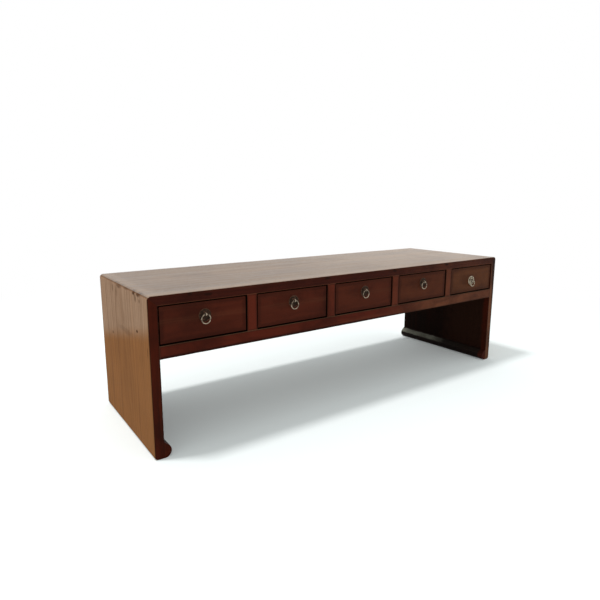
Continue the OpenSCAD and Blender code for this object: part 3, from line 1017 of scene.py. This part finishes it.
class CONSOLE_OT_foot_scrolls(bpy.types.Operator):
    """Models the scroll feet: a ramp that runs into a roll along the inside of each side board"""

    bl_idname = "console.foot_scrolls"
    bl_label = "Foot Scrolls"

    HOLLOW_W = 0.05  # width of the hollows left by planing
    HOLLOW_SHARE = 0.8  # their depth as a share of that in the boards

    def execute(self, context):
        sizes, _, colours = prepare(context)
        for side, inward in (("left", 1), ("right", -1)):
            inner_x = -inward * INNER_X
            scroll = self.outline(sizes, f"scroll_{side}", inward, inner_x)
            edit(scroll)
            pick_all()
            push(BACK_Y - FRONT_Y)
            leave()
            settle(scroll)
            round_edges(scroll, sizes.scroll_arris_r, lambda e: (
                front_or_back(e) and abs(middle(e).x - inner_x) > TOUCH and middle(e).z > TOUCH
            ), 3)
            divide(scroll, Y, sizes.grid)
            # Nothing is sunk close to the side board and to the floor
            make_uneven(scroll, sizes.planing, self.HOLLOW_W, lambda p: (
                0.0 if abs(p.x - inner_x) < 2 * MM or p.z < 3 * MM else self.HOLLOW_SHARE
            ))
            settle(scroll)
            low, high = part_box(f"{side}_foot_scroll")
            # Painted shade: the scroll keeps the near-black inside colour
            worn = wood_finish(
                f"worn_scroll_{side}", low, high, Y, (0.0, 0.0, -0.1),
                dull_shaded_lacquer(colours, wear=0.4, gloss=0.6, specular=0.06),
                [
                    # Painted highlight: grey along the top of the roll; the next layer lays the
                    # dark inside colour back over its front part
                    layer(Z, 0.038, 0.011, 0.006, colours.ramp, 1.0),
                    ((0, 0.02, 0), (0, -1, 0), 0.05, 0.06, colours.inner, 0.95, "Beyond"),
                    layer(Y, FRONT_Y, 0.03, 0.02, colours.leg, 0.8),
                ],
            )
            dress(scroll, worn, "frame", "lacquered_wood", f"{side}_foot_scroll")
            look = lacquer(
                colours, colours.leg, dark=colours.leg_dark, wear=0.1, edge=0.001, gloss=0.5,
                rings=160.0,
            )
            end_grain = wood_finish(
                f"worn_scroll_end_{side}", low, high, Y, (inner_x, 0.0, 0.02), look,
            )
            line_with(scroll, end_grain, lambda f: abs(f.normal.y) > FACING)
        return {"FINISHED"}

    @staticmethod
    def outline(sizes, name, inward, inner_x):
        """The flat outline at the front: a circle opened on one side, then drawn out to the ramp"""
        radius = sizes.scroll_r
        reach = SCROLL_HIGH.x - SCROLL_LOW.x
        centre = Vector((inner_x + inward * (reach - radius), FRONT_Y, radius))
        notch = Vector((inner_x, FRONT_Y, SCROLL_HIGH.z))
        to_centre = centre - notch
        distance = to_centre.length
        down = math.atan2(-to_centre.z, abs(to_centre.x)) - math.asin(radius / distance)
        run = math.sqrt(distance ** 2 - radius ** 2)
        touch = notch + run * Vector((inward * math.cos(down), 0.0, -math.sin(down)))
        obj = disc(name, centre, radius, 64, "NOTHING")
        edit(obj)

        def angle(point):
            """Angle round the roll, zero where it stands furthest in"""
            return math.atan2(point.z - centre.z, inward * (point.x - centre.x))

        def at(vertex, point):
            return (vertex.co - point).length < 0.01 * MM

        lowest, highest = -math.radians(90.5), angle(touch) - 0.01
        pick(obj, "VERT", lambda v: not lowest < angle(v.co) < highest)
        bpy.ops.mesh.delete(type="VERT")
        last = max((v.co.copy() for v in bmesh.from_edit_mesh(obj.data).verts), key=angle)
        pick(obj, "VERT", lambda v: at(v, last))
        for target in (touch, notch, Vector((inner_x, FRONT_Y, 0.0))):
            bpy.ops.mesh.extrude_vertices_move(TRANSFORM_OT_translate={"value": target - last})
            last = target
        bottom = Vector((centre.x, FRONT_Y, 0.0))
        pick(obj, "VERT", lambda v: at(v, last) or at(v, bottom))
        bpy.ops.mesh.edge_face_add()
        pick_all()
        bpy.ops.mesh.edge_face_add()
        leave()
        return obj


class CONSOLE_OT_front_frame(bpy.types.Operator):
    """Models the front rail and the uprights between the drawers"""

    bl_idname = "console.front_frame"
    bl_label = "Front Frame"

    HOLLOW_W = 0.06  # width of the hollows left by planing

    def execute(self, context):
        sizes, _, colours = prepare(context)
        low = Vector((-INNER_X, RAIL_LOW.y, RAIL_LOW.z))
        high = Vector((INNER_X, RAIL_HIGH.y, RAIL_HIGH.z))
        rail = self.bar("lacquered_rail", low, high, X, sizes)
        self.finish(rail, low, high, X, colours, "front_rail", colours.rail, [
            # Painted shadow along the rail's lower edge
            layer(Z, RAIL_LOW.z, 0.010, 0.004, colours.front_dark_and_shadow, 0.85),
            layer(X, 0.25, 0.20, 0.10, colours.frame_pale, 0.75, "Beyond"),
            # Painted highlight along the rail's top edge
            layer(Z, RAIL_TOP_Z, 0.0028, 0.0016, colours.rail_edge_highlight, 0.7),
        ])
        back = FRONT_Y + (RAIL_HIGH.y - RAIL_LOW.y)
        for n in DRAWERS[:-1]:
            node = f"divider_{n}"
            low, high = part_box(node)
            low, high = Vector((low.x, FRONT_Y, RAIL_TOP_Z)), Vector((high.x, back, TOP_UNDER_Z))
            upright = self.bar(f"upright_{n}", low, high, Z, sizes)
            share = (n / len(DRAWERS)) ** 3
            tone = Vector(colours.upright).lerp(Vector(colours.frame_pale), share)
            self.finish(upright, low, high, Z, colours, node, tone)
        return {"FINISHED"}

    def bar(self, name, low, high, axis, sizes):
        """A bar along an axis with its two front edges rounded"""
        def weight(point):
            """Only the front is uneven, and not where the bar meets another piece"""
            to_end = min(abs(point[axis] - low[axis]), abs(point[axis] - high[axis]))
            return point.y < low.y + 2 * MM and to_end > NEAR

        obj = board(name, low, high)
        round_edges(
            obj, sizes.inner_arris_r, lambda e: along(e, axis) and middle(e).y < low.y + TOUCH, 3,
        )
        for way in (axis, Z if axis == X else X):
            divide(obj, way, sizes.grid)
        make_uneven(obj, sizes.planing, self.HOLLOW_W, weight)
        settle(obj)
        return obj

    @staticmethod
    def finish(obj, low, high, grain, colours, node, tone, layers=()):
        material = wood_finish(
            "worn_" + obj.name, low, high, grain, (low.x, FRONT_Y + 0.12, low.z + 0.02),
            lacquer(
                colours, tone, rings=120.0, grain=0.5, mottle=0.6, grime=0.006, grime_share=0.5,
            ),
            layers,
        )
        dress(obj, material, "frame", "lacquered_wood", node)
        # Faces other than the front are dark with painted shade
        dull = dull_shaded_inside("dull_" + obj.name, low, high, grain, colours)
        line_with(obj, dull, lambda f: f.normal.y > -FACING)


class CONSOLE_OT_back_and_runners(bpy.types.Operator):
    """Finishes the back rail, the back panel, the runners and the guides of the frame"""

    bl_idname = "console.back_and_runners"
    bl_label = "Back and Runners"

    def execute(self, context):
        _, _, colours = prepare(context)
        look = lacquer(
            colours, colours.leg, dark=colours.leg_dark, mottle=0.8, wear=0.4, edge=0.003,
            gloss=0.6, specular=0.08,
        )
        for node in ("back_rail", "back_panel"):
            low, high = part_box(node)
            pith = (0.0, high.y + 0.1, low.z - 0.03)
            repaint(node, wood_finish("old_" + node, low, high, X, pith, look))
        middle_runners = [f"middle_runner_{n}" for n in DRAWERS[:-1]]
        for node in ("left_runner", "right_runner", "drawer_guides", *middle_runners):
            repaint(node, bare_finish(node, Y, colours))
        return {"FINISHED"}


class CONSOLE_OT_drawers(bpy.types.Operator):
    """Finishes the drawer fronts in lacquer and the drawer boxes in bare wood"""

    bl_idname = "console.drawers"
    bl_label = "Drawers"

    def execute(self, context):
        _, _, colours = prepare(context)
        look = lacquer(
            colours, colours.wood_dark, rings=110.0, grain=0.3, mottle=0.5, wear=0.05,
            edge=0.001, gloss=0.42, grime=0.018, grime_share=0.45,
        )
        for n in DRAWERS:
            node = f"drawer_{n}_front"
            low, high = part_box(node)
            share = ((n - 1) / (len(DRAWERS) - 1)) ** 3
            tone = Vector(colours.front).lerp(Vector(colours.front_last), share)
            material = wood_finish(
                f"worn_{node}", low, high, X, (low.x + 0.1 * n, low.y + 0.09, low.z + 0.05), look,
                [
                    # Painted shade: the sides of the front, in the gaps round the drawer, take the
                    # near-black colour; only the face keeps its lacquer
                    layer(Y, low.y, 0.014, 0.002, colours.inner, 1.0),
                    layer(Y, low.y, 0.0014, 0.0004, tone, 1.0),
                ],
                [(
                    pull_place(n) - Vector((0.02, 0, 0)), (0.10, 0.03, 0.035),
                    colours.front_dark_and_shadow, 0.35,
                )],
            )
            repaint(node, material)
            for piece, grain in (("left_side", Y), ("right_side", Y), ("back", X), ("bottom", X)):
                node = f"drawer_{n}_{piece}"
                repaint(node, bare_finish(node, grain, colours))
        return {"FINISHED"}


# The pulls

def mark_rubbed(obj, test):
    """Keeps on each point how much it is rubbed, for the metal's finish"""
    rubbed = obj.data.attributes.new("rubbed", "FLOAT", "POINT")
    rubbed.data.foreach_set("value", [test(vertex.co) for vertex in obj.data.vertices])


def pull_place(n):
    """Middle of a pull's eye, on the drawer's face"""
    low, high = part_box(f"pull_{n}_pin")
    return Vector(((low.x + high.x) / 2, FACE_Y, (low.z + high.z) / 2))


def on_each_drawer(piece, name):
    """Yields a drawer's number and its own copy of a piece that was made for the first"""
    first = pull_place(1)
    for n in DRAWERS:
        yield n, piece if n == 1 else copy_to(piece, f"{name}_{n}", pull_place(n) - first)


def away(point, centre):
    """Distance from a centre, seen from the front"""
    return math.hypot(point.x - centre.x, point.z - centre.z)


class CONSOLE_OT_backplates(bpy.types.Operator):
    """Models the dished backplates, each with a raised rim and a raised place round its pin"""

    bl_idname = "console.backplates"
    bl_label = "Backplates"

    BACK = 0.3 * MM  # how far the plate's edge starts from the drawer
    EDGE = 0.5 * MM  # width and height of the slope at the plate's edge
    DENT_W = 6 * MM  # width of the hammer's dents
    # Steps of the dish: share of its width, and rise in mm
    DISH = ((0.35, 0.05), (0.3, 0.15), (0.22, 0.25), (0.13, 0.4))

    def execute(self, context):
        _, sizes, colours = prepare(context)
        eye = pull_place(1)
        drop = eye.z - (PLATE_LOW.z + PLATE_HIGH.z) / 2
        centre = eye - Vector((0.0, 0.0, drop))
        back_r, rim = PLATE_R - self.EDGE, sizes.rim_w
        plate = disc("backplate_1", centre, back_r, 96)
        edit(plate)
        bpy.ops.mesh.select_mode(type="FACE")
        pick_all()
        push(-self.BACK)
        push(-self.EDGE)
        spread_out = PLATE_R / back_r
        bpy.ops.transform.resize(value=(spread_out, 1.0, spread_out), center_override=centre)
        dish = back_r - rim - sizes.boss_r
        # How far in, how far out from the drawer in mm, and how far up
        steps = [
            (0.25 * rim, 0.55, 0.0), (0.25 * rim, 0.2, 0.0), (0.25 * rim, -0.05, 0.0),
            (0.35 * rim, -0.45, 0.0),
            *((share * dish, lift, share * drop) for share, lift in self.DISH),
            (0.6 * MM, 0.45, 0.0), (0.9 * MM, 0.25, 0.0), (1.4 * MM, 0.05, 0.0),
        ]
        room = PLATE_HIGH.y - PLATE_LOW.y - self.BACK - self.EDGE
        for inward, lift, up in steps:
            lift = min(lift * MM, room)
            room -= lift
            bpy.ops.mesh.inset(thickness=inward, depth=0.0)
            bpy.ops.transform.translate(value=(0.0, -lift, up))
        leave()
        settle(plate, 40.0)
        # Nothing is sunk in the back, which meets the drawer
        make_uneven(plate, sizes.hammering, self.DENT_W, lambda p: p.y <= eye.y - 0.05 * MM)

        def rubbed(point):
            if PLATE_R - rim < away(point, centre) < PLATE_R:
                return 0.8
            return 0.6 if away(point, eye) < sizes.boss_r else 0.0

        mark_rubbed(plate, rubbed)
        dark = metal_finish("dark_bronze_plate", colours.bronze, colours.bronze_dull, 0.75, 0.42)
        # The last plate is brighter as a painted reflection
        bright = metal_finish(
            "bright_brass_plate", colours.brass_last_painted_reflection, colours.brass_dull, 0.62, 0.32,
        )
        for n, copy in on_each_drawer(plate, "backplate"):
            metal, slot = (bright, "worn_brass") if n == DRAWERS[-1] else (dark, "dark_bronze")
            dress(copy, metal, f"drawer_{n}", slot, f"pull_{n}_plate")
        return {"FINISHED"}


class CONSOLE_OT_pins(bpy.types.Operator):
    """Models the pins: an eye for the ring, a collar, and two legs bent over inside the drawer"""

    bl_idname = "console.pins"
    bl_label = "Pins"

    EYE_W = 4 * MM
    # Outline of the collar and neck in mm: radius, and distance from the plate
    NECK = ((3.5, -0.1), (3.5, 0.5), (3.1, 1.0), (2.3, 1.3), (1.9, 1.9), (2.0, 2.4), (1.6, 2.7))
    LEG_ARRIS_R = 0.3 * MM
    # How the legs narrow: share of their length, and share of the width left from there on
    TAPER = ((0.55, 0.85), (0.75, 0.75), (0.95, 0.5))

    def execute(self, context):
        _, sizes, colours = prepare(context)
        place_of = pull_place(1)
        eye_r = (PIN_HIGH.z - PIN_LOW.z) / 2
        eye_centre = Vector((place_of.x, PIN_LOW.y + eye_r, place_of.z))
        wire_r = sizes.eye_wall / 2
        eye = torus(
            "pin_eye", eye_centre, (0.0, math.radians(90), 0.0), eye_r - wire_r, wire_r, 48,
        )
        edit(eye)
        pick_all()
        wider = self.EYE_W / sizes.eye_wall
        bpy.ops.transform.resize(value=(wider, 1.0, 1.0), center_override=eye_centre)
        leave()
        neck = self.turned("pin_neck", Vector((place_of.x, PLATE_LOW.y, place_of.z)), self.NECK)
        pin = join([eye, neck, self.legs(sizes, place_of)], "eye_pin_1")
        settle(pin, 40.0)
        mark_rubbed(pin, lambda point: 0.7 if point.y < PLATE_LOW.y - 4 * MM else 0.1)
        material = metal_finish("worn_brass_pin", colours.brass, colours.brass_dull, 0.8, 0.34)
        for n, copy in on_each_drawer(pin, "eye_pin"):
            dress(copy, material, f"drawer_{n}", "worn_brass", f"pull_{n}_pin")
        return {"FINISHED"}

    @staticmethod
    def turned(name, foot, profile):
        """A turned piece on a plate; its profile is radius and height in mm"""
        radius, height = profile[0]
        obj = disc(name, foot - Vector((0.0, height * MM, 0.0)), radius * MM, 32)
        edit(obj)
        bpy.ops.mesh.select_mode(type="FACE")
        pick_all()
        for next_radius, next_height in profile[1:]:
            push((height - next_height) * MM)
            share = next_radius / radius
            bpy.ops.transform.resize(value=(share, 1.0, share), center_override=foot)
            radius, height = next_radius, next_height
        leave()
        return obj

    @classmethod
    def legs(cls, sizes, middle_of):
        """The split end of the pin, its two halves bent flat and hammered to points"""
        half = PIN_HIGH.x - middle_of.x
        low = Vector((middle_of.x - half, PIN_HIGH.y - sizes.leg_t, middle_of.z - sizes.shank_r))
        high = Vector((middle_of.x + half, PIN_HIGH.y, middle_of.z + sizes.shank_r))
        obj = board("pin_legs", low, high)
        divide(obj, X, half / 6)
        edit(obj)
        for share, width in cls.TAPER:
            pick(obj, "VERT", lambda v: abs(v.co.x - middle_of.x) > share * half)
            bpy.ops.transform.resize(value=(1.0, 1.0, width), center_override=middle_of)
        leave()
        round_edges(
            obj, cls.LEG_ARRIS_R, lambda e: middle(e).y > high.y - TOUCH and not along(e, Z), 2,
        )
        return obj


class CONSOLE_OT_rings(bpy.types.Operator):
    """Models the hammered pull rings, smoother where they hang in their eyes"""

    bl_idname = "console.rings"
    bl_label = "Rings"

    WORN_TO = 0.97  # share of the wire's radius that is left
    DENT_W = 5 * MM  # width of the hammer's dents
    DENT_SHARE = 1.6  # their depth as a share of that in the backplates
    SMOOTHED_TO = 0.3  # what is left of them where the ring rubs in its eye

    def execute(self, context):
        _, sizes, colours = prepare(context)
        centre = (RING_LOW + RING_HIGH) / 2
        ring = torus("ring_1", centre, TO_FRONT, RING_R, WIRE_R * self.WORN_TO, 112)
        make_uneven(ring, sizes.hammering * self.DENT_SHARE, self.DENT_W, lambda p: (
            self.SMOOTHED_TO if p.z > centre.z + 0.8 * RING_R else 1.0
        ))
        settle(ring, 60.0)

        def rubbed(point):
            outer = (away(point, centre) - RING_R + WIRE_R) / (2 * WIRE_R)
            low = (centre.z - point.z) / (RING_R + WIRE_R)
            front = (centre.y - point.y) / WIRE_R
            return min(1.0, max(0.0, 0.25 + 0.25 * outer + 0.25 * low + 0.35 * front))

        mark_rubbed(ring, rubbed)
        worn = metal_finish("worn_brass_ring", colours.brass, colours.brass_dull, 0.95, 0.30)
        # The last ring is brighter as a painted reflection
        bright = metal_finish(
            "bright_brass_ring", colours.brass_last_painted_reflection, colours.brass_dull, 0.95, 0.30,
        )
        for n, copy in on_each_drawer(ring, "pull_ring"):
            metal = bright if n == DRAWERS[-1] else worn
            dress(copy, metal, f"ring_{n}", "worn_brass", f"pull_{n}_ring")
        return {"FINISHED"}


# The stage

class CONSOLE_OT_stage(bpy.types.Operator):
    """Sets up the pale floor, the white surroundings, the soft lamp and the camera"""

    bl_idname = "console.stage"
    bl_label = "Stage"

    AIM = Vector((0.0, 0.0, 0.3))

    def execute(self, context):
        scene = context.scene
        stage = scene.table_stage
        deselect()
        bpy.ops.mesh.primitive_plane_add(size=stage.floor_size, location=(0.0, 0.0, 0.0))
        floor = added("floor")
        floor.data.materials.append(self.floor_finish(stage))
        scene.world = self.surroundings(stage)
        bpy.ops.object.light_add(type="AREA", location=stage.key_place)
        lamp = context.object
        lamp.name = "soft_lamp"
        lamp.data.energy = stage.key_power
        lamp.data.size = stage.key_size
        lamp.rotation_euler = (self.AIM - lamp.location).to_track_quat("-Z", "Y").to_euler()
        bpy.ops.object.camera_add(location=stage.camera_place, rotation=stage.camera_turn)
        camera = context.object
        camera.name = "camera"
        camera.data.lens = stage.lens
        camera.data.sensor_width = 36.0
        camera.data.shift_x, camera.data.shift_y = stage.shift
        scene.camera = camera
        scene.view_settings.view_transform = "Standard"
        return {"FINISHED"}

    @staticmethod
    def floor_finish(stage):
        """Matt floor that turns white away from the table"""
        material, nodes = new_material("pale_floor")
        spot_of = nodes.put("TexCoord", {}).outputs["Object"]
        far = nodes.spread(nodes.vector("LENGTH", spot_of), stage.fade_from, stage.fade_to)
        matt = nodes.put("BsdfDiffuse", {"Color": stage.floor}).outputs[0]
        glow = {"Color": stage.floor, "Strength": stage.floor_lift}
        lift = nodes.put("Emission", glow).outputs[0]
        matt = nodes.put("AddShader", {0: matt, 1: lift}).outputs[0]
        white = nodes.put("Emission", {"Strength": 1.0}).outputs[0]
        both = nodes.put("MixShader", {0: far, 1: matt, 2: white}).outputs[0]
        nodes.put("OutputMaterial", {"Surface": both})
        return material

    @staticmethod
    def surroundings(stage):
        """White to the camera and in reflections, dimmer as light"""
        world = bpy.data.worlds.new("white_room")
        world.use_nodes = True
        world.node_tree.nodes.clear()
        nodes = Nodes(world.node_tree)
        path = nodes.put("LightPath", {}).outputs
        seen = nodes.calc("MAXIMUM", path["Is Camera Ray"], path["Is Glossy Ray"])
        seen = nodes.calc("MAXIMUM", seen, path["Is Transmission Ray"])
        dim = nodes.put("Background", {"Color": stage.sky, "Strength": stage.ambient})
        white = nodes.put("Background", {"Color": (1.0, 1.0, 1.0), "Strength": 1.0})
        both = nodes.put("MixShader", {0: seen, 1: dim.outputs[0], 2: white.outputs[0]})
        nodes.put("OutputWorld", {"Surface": both.outputs[0]})
        return world


STEPS = (
    CONSOLE_OT_top_board,
    CONSOLE_OT_side_boards,
    CONSOLE_OT_foot_scrolls,
    CONSOLE_OT_front_frame,
    CONSOLE_OT_back_and_runners,
    CONSOLE_OT_drawers,
    CONSOLE_OT_backplates,
    CONSOLE_OT_pins,
    CONSOLE_OT_rings,
    CONSOLE_OT_stage,
)
SETTINGS = {
    "table_sizes": TableSizes,
    "pull_sizes": PullSizes,
    "table_colours": FinishColours,
    "table_stage": StageSettings,
}


class CONSOLE_PT_panel(bpy.types.Panel):
    """Lists the steps that dress the table"""

    bl_label = "Console Table"
    bl_idname = "CONSOLE_PT_panel"
    bl_space_type = "VIEW_3D"
    bl_region_type = "UI"
    bl_category = "Console Table"

    def draw(self, context):
        for step in STEPS:
            self.layout.operator(step.bl_idname)
        for name, settings in SETTINGS.items():
            box = self.layout.box()
            for key in settings.__annotations__:
                box.prop(getattr(context.scene, name), key)


def register():
    for kind in (*SETTINGS.values(), *STEPS, CONSOLE_PT_panel):
        bpy.utils.register_class(kind)
    for name, settings in SETTINGS.items():
        setattr(bpy.types.Scene, name, PointerProperty(type=settings))


def unregister():
    for name in SETTINGS:
        delattr(bpy.types.Scene, name)
    for kind in (CONSOLE_PT_panel, *reversed(STEPS), *SETTINGS.values()):
        bpy.utils.unregister_class(kind)


def main():
    register()
    for step in STEPS:
        getattr(bpy.ops.console, step.bl_idname.split(".")[1])()


if __name__ == "__main__":
    main()
